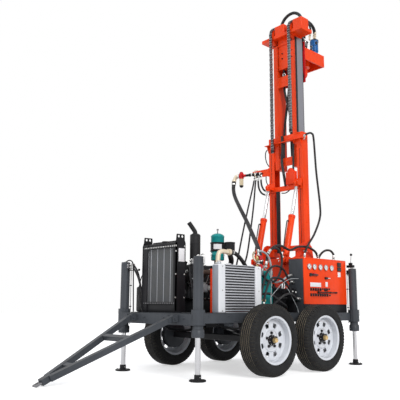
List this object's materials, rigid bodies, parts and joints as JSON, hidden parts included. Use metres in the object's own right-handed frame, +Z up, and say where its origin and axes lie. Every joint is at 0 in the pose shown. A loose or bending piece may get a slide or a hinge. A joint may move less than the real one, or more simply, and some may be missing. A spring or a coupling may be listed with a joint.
{
  "type": "trailer-mounted water well drilling rig",
  "caption": "Small towed drilling rig for water wells: wheeled deck with levelling jacks, open engine, tilting telescopic mast and a rotary drill head.",
  "frame": {"origin": "on the ground under the middle of the rig's box", "axes": "+Z up along the mast, -Y towards the drawbar, +X the rig's left side with the control panel"},
  "size_m": [1.57, 3.646, 4.02],
  "materials": {
    "orange_paint": "gloss orange-red machine enamel",
    "frame_grey": "satin dark grey paint",
    "black_paint": "satin black paint",
    "engine_metal": "painted cast iron with bare fittings",
    "tyre_rubber": "matte black tyre rubber",
    "hose_rubber": "black hydraulic hose",
    "rim_white": "gloss white wheel paint",
    "chrome": "hard chromed rod",
    "bare_steel": "oiled bare steel",
    "aluminium": "bare brazed aluminium",
    "teal_paint": "gloss teal paint",
    "blue_paint": "gloss blue paint",
    "red_paint": "gloss red paint"
  },
  "bodies": {
    "chassis": {"chassis_frame": "frame_grey", "deck_plate": "frame_grey", "axle_front": "black_paint", "axle_rear": "black_paint", "leaf_springs_left": "black_paint", "leaf_springs_right": "black_paint", "jack_barrel_front_left": "frame_grey", "jack_barrel_front_right": "frame_grey", "jack_barrel_rear_left": "frame_grey", "jack_barrel_rear_right": "frame_grey", "radiator": "black_paint", "fan_shroud": "black_paint", "cooling_fan": "black_paint", "engine": "engine_metal", "exhaust_muffler": "black_paint", "air_cleaner": "teal_paint", "oil_cooler": "aluminium", "cooler_screen": "orange_paint", "screw_compressor": "teal_paint", "oil_separator_tank": "teal_paint", "hydraulic_tank": "orange_paint", "fuel_tank": "black_paint", "battery_box": "black_paint", "control_cabinet": "orange_paint", "gauge_row": "black_paint", "control_levers": "black_paint", "mast_tower": "orange_paint"},
    "wheel_front_left": {"tyre_front_left": "tyre_rubber", "wheel_disc_front_left": "rim_white"},
    "wheel_front_right": {"tyre_front_right": "tyre_rubber", "wheel_disc_front_right": "rim_white"},
    "wheel_rear_left": {"tyre_rear_left": "tyre_rubber", "wheel_disc_rear_left": "rim_white"},
    "wheel_rear_right": {"tyre_rear_right": "tyre_rubber", "wheel_disc_rear_right": "rim_white"},
    "jack_front_left": {"jack_leg_front_left": "chrome"},
    "jack_front_right": {"jack_leg_front_right": "chrome"},
    "jack_rear_left": {"jack_leg_rear_left": "chrome"},
    "jack_rear_right": {"jack_leg_rear_right": "chrome"},
    "towing_frame": {"drawbar": "frame_grey", "tow_eye": "bare_steel"},
    "mast": {"outer_mast": "orange_paint", "feed_gear_box": "red_paint", "service_arm": "red_paint"},
    "feed_mast": {"inner_mast": "orange_paint", "crown_head": "orange_paint", "feed_chain_left": "bare_steel", "feed_chain_right": "bare_steel"},
    "drill_head": {"head_carriage": "orange_paint", "head_gearbox": "orange_paint", "head_motor": "blue_paint"},
    "drill_shaft": {"spindle": "bare_steel"},
    "tilt_barrels": {"tilt_barrel_left": "orange_paint", "tilt_barrel_right": "orange_paint"},
    "tilt_rods": {"tilt_rod_left": "chrome", "tilt_rod_right": "chrome"}
  },
  "joints": [
    {"name": "front_left_wheel_turn", "type": "hinge", "parent": "chassis", "child": "wheel_front_left", "pos_m": [0.69, 0.09028, 0.32], "axis": [1, 0, 0], "continuous": true},
    {"name": "front_right_wheel_turn", "type": "hinge", "parent": "chassis", "child": "wheel_front_right", "pos_m": [-0.69, 0.09028, 0.32], "axis": [1, 0, 0], "continuous": true},
    {"name": "rear_left_wheel_turn", "type": "hinge", "parent": "chassis", "child": "wheel_rear_left", "pos_m": [0.69, 0.83578, 0.32], "axis": [1, 0, 0], "continuous": true},
    {"name": "rear_right_wheel_turn", "type": "hinge", "parent": "chassis", "child": "wheel_rear_right", "pos_m": [-0.69, 0.83578, 0.32], "axis": [1, 0, 0], "continuous": true},
    {"name": "front_left_jack_slide", "type": "slide", "parent": "chassis", "child": "jack_front_left", "axis": [0, 0, 1], "range_m": [-0.15, 0.24]},
    {"name": "front_right_jack_slide", "type": "slide", "parent": "chassis", "child": "jack_front_right", "axis": [0, 0, 1], "range_m": [-0.15, 0.24]},
    {"name": "rear_left_jack_slide", "type": "slide", "parent": "chassis", "child": "jack_rear_left", "axis": [0, 0, 1], "range_m": [-0.15, 0.24]},
    {"name": "rear_right_jack_slide", "type": "slide", "parent": "chassis", "child": "jack_rear_right", "axis": [0, 0, 1], "range_m": [-0.15, 0.24]},
    {"name": "drawbar_swing", "type": "hinge", "parent": "chassis", "child": "towing_frame", "pos_m": [0, -0.72197, 0.51], "axis": [-1, 0, 0], "range_deg": [0, 45]},
    {"name": "mast_tilt", "type": "hinge", "parent": "chassis", "child": "mast", "pos_m": [0, 1.18303, 1.2], "axis": [1, 0, 0], "range_deg": [0, 75]},
    {"name": "tilt_barrel_swing", "type": "hinge", "parent": "chassis", "child": "tilt_barrels", "pos_m": [0, 0.92303, 1.106], "axis": [1, 0, 0], "range_deg": [0, 77]},
    {"name": "tilt_rod_slide", "type": "slide", "parent": "tilt_barrels", "child": "tilt_rods", "axis": [0, 0.2493, 0.9684], "range_m": [-0.337, 0]},
    {"name": "mast_feed", "type": "slide", "parent": "mast", "child": "feed_mast", "axis": [0, 0, 1], "range_m": [-1, 0]},
    {"name": "head_slide", "type": "slide", "parent": "feed_mast", "child": "drill_head", "axis": [0, 0, 1], "range_m": [-1, 0]},
    {"name": "spindle_turn", "type": "hinge", "parent": "drill_head", "child": "drill_shaft", "pos_m": [0, 1.59303, 3.575], "axis": [0, 0, 1], "continuous": true}
  ],
  "couplings": [
    {"joint": "tilt_barrel_swing", "follows": "mast_tilt", "ratio": 1.0252},
    {"joint": "tilt_rod_slide", "follows": "mast_tilt", "m_per_rad": -0.25652},
    {"joint": "head_slide", "follows": "mast_feed", "ratio": 1}
  ]
}
